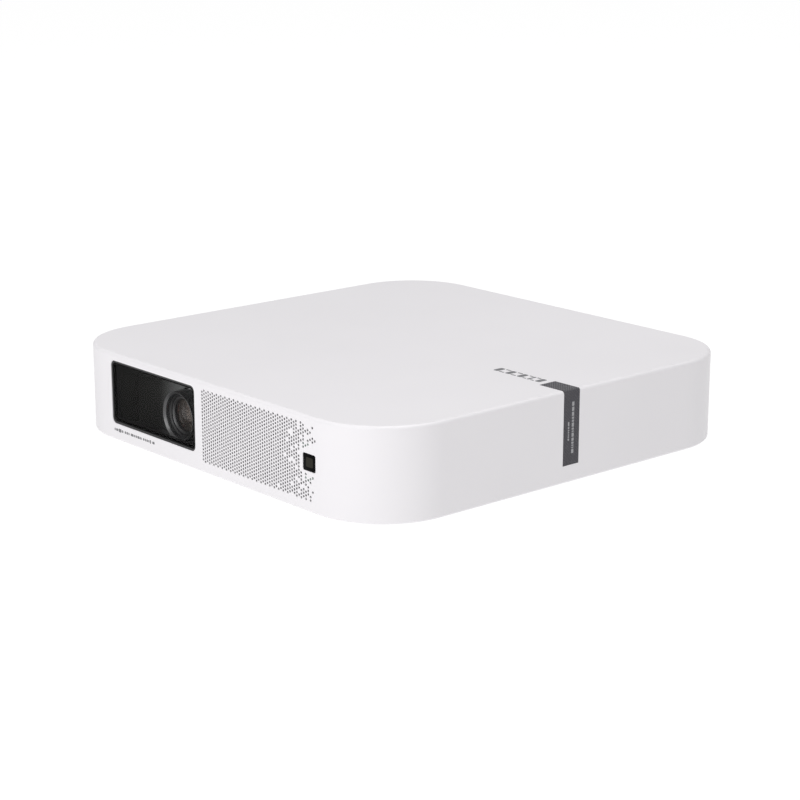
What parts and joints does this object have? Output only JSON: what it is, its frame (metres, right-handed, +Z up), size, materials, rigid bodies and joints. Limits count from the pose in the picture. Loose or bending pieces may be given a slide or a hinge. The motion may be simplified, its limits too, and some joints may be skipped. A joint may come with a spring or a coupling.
{
  "type": "home projector",
  "caption": "Flat square home projector with soft corners, a dark lens window, a perforated front grille, rear sockets and a side tag; focus, fans, speakers and button move.",
  "frame": {"origin": "under the middle of the body, on the plane the feet rest on", "axes": "-Y is the front, where the lens points; +X is to the right seen from the front, towards the tag; +Z is up"},
  "size_m": [0.194, 0.192, 0.038],
  "materials": {
    "white_shell": "fine matt moulded plastic",
    "black_plastic": "matt black",
    "tinted_glass": "polished dark glass",
    "lens_glass": "coated lens glass",
    "mirror": "mirror",
    "rubber": "matt rubber",
    "woven_tag": "fine woven ribbon",
    "steel": "plated",
    "aluminium": "satin",
    "copper": "bare copper",
    "brass": "turned brass",
    "circuit_board": "solder mask",
    "paper_cone": "pressed paper"
  },
  "bodies": {
    "casing": {"top_shell": "white_shell", "front_grille": "white_shell", "rear_grille": "white_shell", "socket_panel": "black_plastic", "bottom_cover": "white_shell", "rubber_feet": "rubber", "case_screws": "steel", "tripod_insert": "brass", "window_glass": "tinted_glass", "window_frame": "black_plastic", "lens_shroud": "black_plastic", "sensor_window": "tinted_glass", "side_tag": "woven_tag", "engine_housing": "aluminium", "engine_cover": "black_plastic", "ring_clip": "steel", "focus_motor": "aluminium", "prism_block": "lens_glass", "fold_mirror": "mirror", "collimator_lenses": "lens_glass", "dmd_board": "circuit_board", "dmd_heatsink": "aluminium", "green_led": "copper", "red_blue_led": "copper", "fin_stack": "aluminium", "heat_pipe_inner": "copper", "heat_pipe_outer": "copper", "blower_housing": "black_plastic", "blower_cover": "black_plastic", "fan_housing": "black_plastic", "fan_cover": "black_plastic", "speaker_box_left": "black_plastic", "speaker_box_right": "black_plastic", "speaker_driver_left": "steel", "speaker_driver_right": "steel", "speaker_surrounds": "rubber", "flat_cable": "black_plastic", "main_board": "circuit_board", "chip_heatsink": "aluminium", "hdmi_socket": "steel", "usb_socket": "steel", "audio_socket": "black_plastic", "power_socket": "black_plastic", "sensor_board": "circuit_board", "button_switch": "black_plastic", "wifi_antennas": "black_plastic", "inner_screws": "steel"},
    "blower_wheel": {"blower_impeller": "black_plastic", "blower_shaft": "steel"},
    "fan_wheel": {"fan_impeller": "black_plastic", "fan_shaft": "steel"},
    "focus_gear": {"focus_ring": "black_plastic"},
    "lens_slide": {"lens_barrel": "black_plastic", "front_lens": "lens_glass", "lens_retainer": "black_plastic", "cam_pins": "steel"},
    "pinion": {"focus_pinion": "brass"},
    "left_cone": {"speaker_cone_left": "paper_cone"},
    "right_cone": {"speaker_cone_right": "paper_cone"},
    "button": {"power_button": "white_shell"}
  },
  "joints": [
    {"name": "power_button_press", "type": "slide", "parent": "casing", "child": "button", "axis": [0, -1, 0], "range_m": [0, 0.0005], "stiffness_N_per_m": 400},
    {"name": "blower_spin", "type": "hinge", "parent": "casing", "child": "blower_wheel", "pos_m": [0.0324, -0.043, 0.0105], "axis": [0, 0, 1], "continuous": true},
    {"name": "fan_spin", "type": "hinge", "parent": "casing", "child": "fan_wheel", "pos_m": [-0.028, 0.07, 0.0105], "axis": [0, 0, 1], "continuous": true},
    {"name": "focus_turn", "type": "hinge", "parent": "casing", "child": "focus_gear", "pos_m": [-0.0266, -0.0784, 0.0181], "axis": [0, -1, 0], "range_deg": [-60, 60]},
    {"name": "focus_slide", "type": "slide", "parent": "casing", "child": "lens_slide", "axis": [0, -1, 0], "range_m": [-0.00151, 0.00151]},
    {"name": "pinion_turn", "type": "hinge", "parent": "casing", "child": "pinion", "pos_m": [-0.0421, -0.0784, 0.0181], "axis": [0, -1, 0], "range_deg": [-251, 251]},
    {"name": "left_cone_move", "type": "slide", "parent": "casing", "child": "left_cone", "axis": [0, 0, 1], "range_m": [-0.0008, 0.0008], "stiffness_N_per_m": 800},
    {"name": "right_cone_move", "type": "slide", "parent": "casing", "child": "right_cone", "axis": [0, 0, 1], "range_m": [-0.0008, 0.0008], "stiffness_N_per_m": 800}
  ],
  "couplings": [
    {"joint": "pinion_turn", "follows": "focus_turn", "ratio": -4.1667},
    {"joint": "focus_slide", "follows": "focus_turn", "m_per_rad": 0.0014324}
  ]
}
